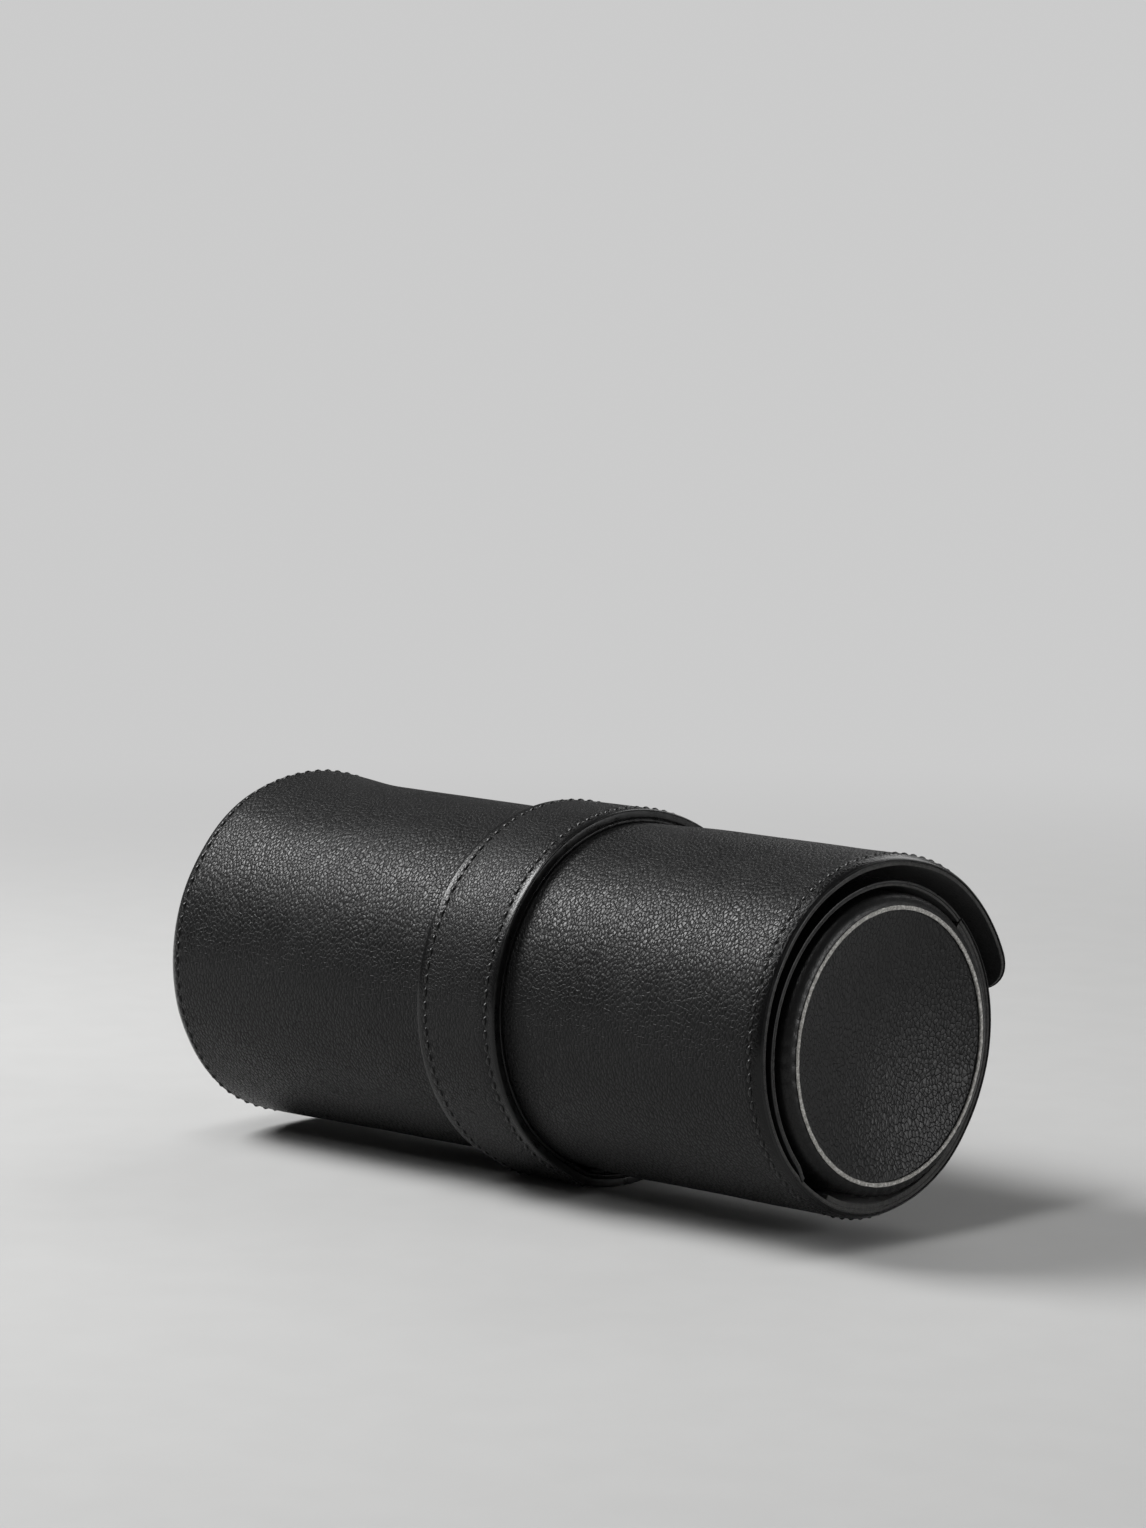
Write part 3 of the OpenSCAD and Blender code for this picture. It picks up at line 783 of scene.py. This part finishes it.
def walk(path):
    found, carried = [], stitch["first"]
    for (xa, sa), (xb, sb) in zip(path, path[1:]):
        length = math.hypot(xb - xa, sb - sa)
        if length < 1e-6:
            continue
        at, way = carried, math.atan2(sb - sa, xb - xa)
        while at < length:
            found.append((xa + (xb - xa) * at / length, sa + (sb - sa) * at / length, way))
            at += stitch["pitch"]
        carried = at - length
    return found


def sewnHeight(kind, x):
    if kind == "wrap":
        return -wrap["grooveDepth"]
    return strapTop + strapCrown(x, 0.0, 1) - strap["grooveDepth"]


def sewPiece(name, kind, places, hold, nodes):
    bm = bmesh.new()
    size = Matrix.Diagonal((stitch["length"] / 2, stitch["width"] / 2, stitch["height"] / 2, 1))
    lying = Euler((0, math.radians(90), 0)).to_matrix().to_4x4()
    for x, s, way in places:
        slanted = Euler((0, 0, way + math.radians(stitch["slant"]))).to_matrix().to_4x4()
        made = bmesh.ops.create_uvsphere(
            bm, u_segments=stitch["sides"], v_segments=stitch["rings"], radius=1.0,
            matrix=Matrix.Translation((x, s, 0)) @ slanted @ size @ lying)
        for v in made["verts"]:
            away = math.hypot(v.co.x - x, v.co.y - s) / (stitch["length"] / 2)
            v.co.z += stitch["stand"] - stitch["dip"] * away * away
    for v in bm.verts:
        v.co = onRoll(kind, v.co.x, angleAt(kind, v.co.y), v.co.z + sewnHeight(kind, v.co.x))
    bmesh.ops.reverse_faces(bm, faces=bm.faces)
    piece = toPiece(bm, name, [waxedThread], 80)
    fix(piece, hold, nodes)
    return piece


wrapPlaces = walk(sewingPath(leftX, rightX, wrapEnd - stitch["wrapStop"], wrap))
strapPlaces = walk(sewingPath(-half, half, strapStop - strap["cornerR"], strap))
strapPlaces += [(x, strapStop - strap["stitchInset"], 0.0) for x in stitch["endRow"]]
footLow, footHigh = arcAt("strap", stitch["footFrom"]), arcAt("strap", stitch["footTo"])
seenPlaces = [p for p in strapPlaces if not footLow < p[1] < footHigh]
for label, hold, reach in wrapParts:
    places = [p for p in wrapPlaces if reach[0] <= p[1] < reach[1]]
    sewPiece("wrapStitches" + label, "wrap", places, hold, ["stitching_" + hold])
sewPiece("strapStitchesUpper", "strap", [p for p in seenPlaces if p[1] < strapSeam], "top", [])
sewPiece("strapStitchesLower", "strap", [p for p in seenPlaces if p[1] >= strapSeam], "front", [])
print("stitches sewn:", len(wrapPlaces) + len(seenPlaces))


# The core

core = {
    "r": 32.5, "half": 96.2, "steps": 300, "cover": 1.0, "fill": 0.95,
    "shoulder": 2.5, "shoulderLength": 2.6, "proud": 0.35, "sideRings": 40,
    "rimDepth": 1.3, "hemDepth": 2.9,  # how far the cover's turned-in edge goes below its top
    "pleats": 64, "pleatDepth": 0.26, "pleatSharp": 1.6, "pleatWander": (1.3, 3, 0.5), "deepestAt": 222,
    "deep": (0.35, 0.65), "deepShare": (0.5, 0.9), "patchy": (0.65, 0.7), "patchiness": (9, 2.2),
    "pleatFrom": 2.2, "pleatFade": 3.0, "pleatRim": 0.2, "rimFade": 0.6, "pleatReach": 8,
}
dish = {
    "r": 30.0, "frontR": 29.1, "depth": 5.0, "lip": 0.5, "thickness": 1.1, "rings": 26, "faceRings": 4,
    "chamfer": 0.12, "lipDrop": 0.1, "rimDrop": 0.15,
    "rough": 0.07, "roughScale": (1.3, 1.3, 3), "wander": 0.09, "wanderScale": 0.8, "wanderLayer": 7,
    "dent": 0.18, "dentScale": 0.07, "dentLayer": 4, "dentFade": 8,
}


def spinRound(points, steps, axis=(1, 0, 0), mergeUnder=1e-4):
    bm = bmesh.new()
    line = [bm.verts.new(point) for point in points]
    edges = [bm.edges.new(pair) for pair in zip(line, line[1:])]
    bmesh.ops.spin(bm, geom=line + edges, cent=(0, 0, 0), axis=axis, dvec=(0, 0, 0), angle=math.tau,
                   steps=steps, use_merge=True)
    bmesh.ops.remove_doubles(bm, verts=bm.verts[:], dist=mergeUnder)
    bmesh.ops.recalc_face_normals(bm, faces=bm.faces)
    return bm


def spinCore(points):
    return spinRound([(x, r, 0) for r, x in points], core["steps"])


def turnOf(co):
    return math.atan2(co.z, co.y)


def settle(bm, side=1):
    for v in bm.verts:
        v.co = Vector((v.co.x * side + roll["middleX"], v.co.y, v.co.z + roll["axisZ"])) * 0.001
    if side < 0:
        bmesh.ops.reverse_faces(bm, faces=bm.faces)


def around(turn, scale, layer):
    return noise.noise(Vector((math.cos(turn) * scale, math.sin(turn) * scale, layer)))


def pleatAt(turn):
    wander, scale, layer = core["pleatWander"]
    wave = abs(math.sin(turn * core["pleats"] / 2 + wander * around(turn, scale, layer)))
    facing = math.cos(turn - math.radians(core["deepestAt"]))
    strong = core["deep"][0] + core["deep"][1] * soft(core["deepShare"][0] + core["deepShare"][1] * facing)
    patchy = core["patchy"][0] + core["patchy"][1] * around(turn, *core["patchiness"])
    return (1 - wave) ** core["pleatSharp"] * strong * max(0.0, patchy)


def makeCover():
    top = core["half"] - core["proud"]
    shoulder = []
    for degrees in range(0, 91, 9):
        t = math.radians(degrees)
        r = dish["r"] + core["shoulder"] * math.cos(t)
        shoulder.append((r, top - core["shoulderLength"] * (1 - math.sin(t))))
    inner = [(dish["r"], top - core["rimDepth"]), (core["r"] - core["cover"], top - core["hemDepth"])]
    rings = core["sideRings"]
    side = [(core["r"], (top - core["shoulderLength"]) * (1 - 2 * i / rings)) for i in range(1, rings)]
    back = [(r, -x) for r, x in reversed(shoulder)]
    points = shoulder[::-1] + side + back[::-1] + [(r, -x) for r, x in inner] + inner[::-1] + [shoulder[-1]]
    bm = spinCore(points)
    flatMap = bm.loops.layers.uv.new("flatMap")
    for face in bm.faces:
        middle = turnOf(face.calc_center_median())
        for loop in face.loops:
            co = loop.vert.co
            turn = turnOf(co)
            turn += math.tau * round((middle - turn) / math.tau)
            reach = co.x + (core["r"] - math.hypot(co.y, co.z)) * (1 if co.x > 0 else -1)
            loop[flatMap].uv = (reach * 0.001, turn * core["r"] * 0.001 + 1.0)
    for v in bm.verts:
        r = math.hypot(v.co.y, v.co.z)
        out = rise(abs(v.co.x), top - core["shoulderLength"] - core["pleatFrom"], core["pleatFade"])
        out *= soft((r - dish["r"] + core["pleatRim"]) / core["rimFade"])
        if out > 0 and r > dish["r"] - 0.01 and abs(v.co.x) > top - core["pleatReach"]:
            sink = core["pleatDepth"] * pleatAt(turnOf(v.co)) * out
            v.co.x -= math.copysign(sink, v.co.x)
            v.co.y, v.co.z = v.co.y * (1 - sink / r), v.co.z * (1 - sink / r)
    settle(bm)
    return bm


def dishFront(r):
    return core["half"] - dish["lip"] - (dish["depth"] - dish["lip"]) * (1 - (r / dish["frontR"]) ** 2)


def makeDish(side):
    inner, outer, end, chamfer = dish["frontR"], dish["r"], core["half"], dish["chamfer"]
    radii = [inner * i / dish["rings"] for i in range(dish["rings"] + 1)]
    front = [(r, dishFront(r)) for r in radii]
    front[-1] = (inner - chamfer, dishFront(inner) - chamfer)
    lip = [(inner, dishFront(inner) + chamfer), (inner, end - dish["lipDrop"]), (inner + chamfer, end)]
    width = outer - inner - (chamfer + dish["rimDrop"])
    steps = dish["faceRings"]
    face = [(inner + chamfer + width * i / steps, end) for i in range(1, steps + 1)]
    outside = [(outer, end - dish["rimDrop"]), (outer, dishFront(inner) - dish["thickness"])]
    back = [(r * outer / inner, x - dish["thickness"]) for r, x in reversed(front[:-1])]
    bm = spinCore(front + lip + face + outside + back)
    flatMap = bm.loops.layers.uv.new("flatMap")
    for f in bm.faces:
        place = f.calc_center_median()
        r = math.hypot(place.y, place.z)
        onFront = f.normal.x > 0.1 and place.x > dishFront(min(r, inner)) - 0.3
        isRing = r > inner - 0.01 and place.x > end - 0.3
        f.material_index = 1 if isRing else 0 if onFront or r < inner else 2
        for loop in f.loops:
            loop[flatMap].uv = (loop.vert.co.y * 0.001 + 2.0 * side, loop.vert.co.z * 0.001)
    for v in bm.verts:
        x, y, z = v.co
        r = math.hypot(y, z)
        if r > inner - 0.05 and x > end - 0.2:
            scale, wide = dish["roughScale"], dish["wanderScale"]
            v.co.x += dish["rough"] * noise.noise(Vector((y * scale[0], z * scale[1], r * scale[2])))
            away = dish["wander"] * noise.noise(Vector((y * wide, z * wide, dish["wanderLayer"] + side)))
            v.co.y, v.co.z = y * (1 + away / r), z * (1 + away / r)
        elif x > dishFront(min(r, inner)) - 0.2 and r < inner:
            wide = dish["dentScale"]
            dent = noise.noise(Vector((y * wide, z * wide, dish["dentLayer"] + side)))
            v.co.x += dish["dent"] * dent * soft((inner - r) / dish["dentFade"])
    settle(bm, side)
    return bm


coreCover = toPiece(makeCover(), "coreCover", [coverLeather])
fix(coreCover, "core", ["core_cover"])
for side, label in ((1, "Right"), (-1, "Left")):
    endDish = toPiece(makeDish(side), "endDish" + label, [dishLeather, rawEdge, suede])
    fix(endDish, "core", ["end_dish_" + label.lower()])
print("core covered")


# Hidden parts inside the core and the closure

boardLook = {
    "colour": (0.24, 0.21, 0.17, 1), "second": (0.33, 0.3, 0.25, 1),
    "roughness": 0.85, "spread": 0.07, "scale": 900.0, "metallic": 0.0, "depth": 0.0001, "bump": 0.6,
}
foamLook = dict(
    boardLook, colour=(0.03, 0.03, 0.032, 1), second=(0.055, 0.055, 0.058, 1), roughness=0.92, scale=1600.0,
    depth=0.0003)
nickelLook = dict(
    boardLook, colour=(0.55, 0.54, 0.52, 1), second=(0.62, 0.61, 0.59, 1), roughness=0.28, scale=500.0,
    metallic=1.0)


def makePlain(name, look):
    made, tree, shader = newMaterial(name)
    speckle = cloud(tree, objectMap(tree), look["scale"], 4.0)
    colour = mixColours(tree, mapTo(tree, speckle, 0.35, 0.65), look["colour"], look["second"])
    tree.links.new(colour, shader.inputs["Base Color"])
    low, high = look["roughness"] - look["spread"], look["roughness"] + look["spread"]
    rough = mapTo(tree, speckle, 0.2, 0.8, low, high)
    tree.links.new(rough, shader.inputs["Roughness"])
    addBump(tree, shader, speckle, look["depth"], look["bump"])
    shader.inputs["Metallic"].default_value = look["metallic"]
    return made


greyBoard = makePlain("greyBoard", boardLook)
foam = makePlain("foam", foamLook)
nickel = makePlain("nickel", nickelLook)
insides = {
    "core_tube": greyBoard, "end_board_right": greyBoard, "end_board_left": greyBoard,
    "core_foam": foam, "end_pad_right": foam, "end_pad_left": foam,
    "wrap_magnet": nickel, "tail_magnet": nickel,
}
for label, material in insides.items():
    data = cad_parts[label].data
    data.materials.clear()
    data.materials.append(material)
print("hidden parts finished")


# Floor, lights and camera

studio = {
    "floor": (0.52, 0.52, 0.516, 1), "second": (0.53, 0.53, 0.526, 1), "roughness": 0.9, "specular": 0.1,
    "paperScale": 60.0, "world": 0.06, "mirrored": 0.1, "target": (-0.006, 0, 0.042),
    "flatRadius": 2.6, "curve": 1.2, "wall": 3.0, "curveSteps": 12, "steps": 96,
    "backdrop": (0.6, 0.6, 0.6, 1), "near": 0.25, "far": 0.9,
    "lamps": {
        "key": {"place": (-0.72, -0.38, 0.86), "size": (0.5, 0.46), "power": 14.0},
        "back": {"place": (-0.25, 0.95, 0.7), "size": (0.8, 0.5), "power": 2.8},
        "side": {"place": (0.95, 0.42, 0.2), "size": (0.5, 0.34), "power": 4.4},
        "strip": {"place": (0.0, -0.42, 0.84), "size": (0.1, 0.9), "power": 3.2},
    },
}


def makeSweep():
    flat, curve = studio["flatRadius"], studio["curve"]
    line = [(0.0, 0, 0.0), (flat, 0, 0.0)]
    for i in range(1, studio["curveSteps"] + 1):
        t = math.radians(90 * i / studio["curveSteps"])
        line.append((flat + curve * math.sin(t), 0, curve * (1 - math.cos(t))))
    line.append((flat + curve, 0, studio["wall"]))
    bm = spinRound(line, studio["steps"], (0, 0, 1), 1e-5)
    down = [f for f in bm.faces if f.normal.z < -0.01 and f.calc_center_median().z < 1e-4]
    bmesh.ops.reverse_faces(bm, faces=down)
    return bm


def makePaper():
    made, tree, shader = newMaterial("paper")
    setLevels(shader, studio)
    place = objectMap(tree)
    grain = mapTo(tree, cloud(tree, place, studio["paperScale"], 3.0), 0.3, 0.7)
    tree.links.new(mixColours(tree, grain, studio["floor"], studio["second"]), shader.inputs["Base Color"])
    reach = addNode(tree, "ShaderNodeVectorMath", {"operation": "LENGTH"}, {0: place}).outputs["Value"]
    rays = addNode(tree, "ShaderNodeLightPath").outputs
    mirrored = doMath(tree, "ADD", rays["Is Glossy Ray"], rays["Is Transmission Ray"], clamp=True)
    seen = doMath(tree, "MULTIPLY_ADD", mirrored, studio["mirrored"], rays["Is Camera Ray"], clamp=True)
    share = doMath(tree, "MULTIPLY", mapTo(tree, reach, studio["near"], studio["far"]), seen)
    glow = addNode(tree, "ShaderNodeEmission", feeds={"Color": studio["backdrop"], "Strength": 1.0})
    mixed = addNode(tree, "ShaderNodeMixShader", feeds={0: share, 1: shader.outputs[0], 2: glow.outputs[0]})
    tree.links.new(mixed.outputs[0], tree.nodes["Material Output"].inputs["Surface"])
    return made


sweep = toPiece(makeSweep(), "sweep", [makePaper()], 60)

world = bpy.data.worlds.new("studioLight")
bpy.context.scene.world = world
world.use_nodes = True
world.node_tree.nodes["Background"].inputs["Color"].default_value = (1, 1, 1, 1)
world.node_tree.nodes["Background"].inputs["Strength"].default_value = studio["world"]

for label, lamp in studio["lamps"].items():
    light = bpy.data.lights.new(label, "AREA")
    light.shape = "RECTANGLE"
    light.size, light.size_y = lamp["size"]
    light.energy = lamp["power"]
    holder = bpy.data.objects.new(label, light)
    holder.location = lamp["place"]
    aim = Vector(studio["target"]) - Vector(lamp["place"])
    holder.rotation_euler = aim.to_track_quat("-Z", "Y").to_euler()
    holder.visible_camera = False
    bpy.context.scene.collection.objects.link(holder)

shot = {"place": (0.6668, -0.6638, 0.1976), "azimuth": 45.37, "elevation": 6.25, "lens": 98.95, "sensor": 36}
lens = bpy.data.cameras.new("camera")
lens.sensor_width = shot["sensor"]
lens.lens = shot["lens"]
lens.clip_start, lens.clip_end = 0.05, 50
camera = bpy.data.objects.new("camera", lens)
camera.location = shot["place"]
camera.rotation_euler = (math.radians(90 - shot["elevation"]), 0, math.radians(shot["azimuth"]))
bpy.context.scene.collection.objects.link(camera)
bpy.context.scene.camera = camera
bpy.context.scene.view_settings.view_transform = "Standard"
print("studio ready")
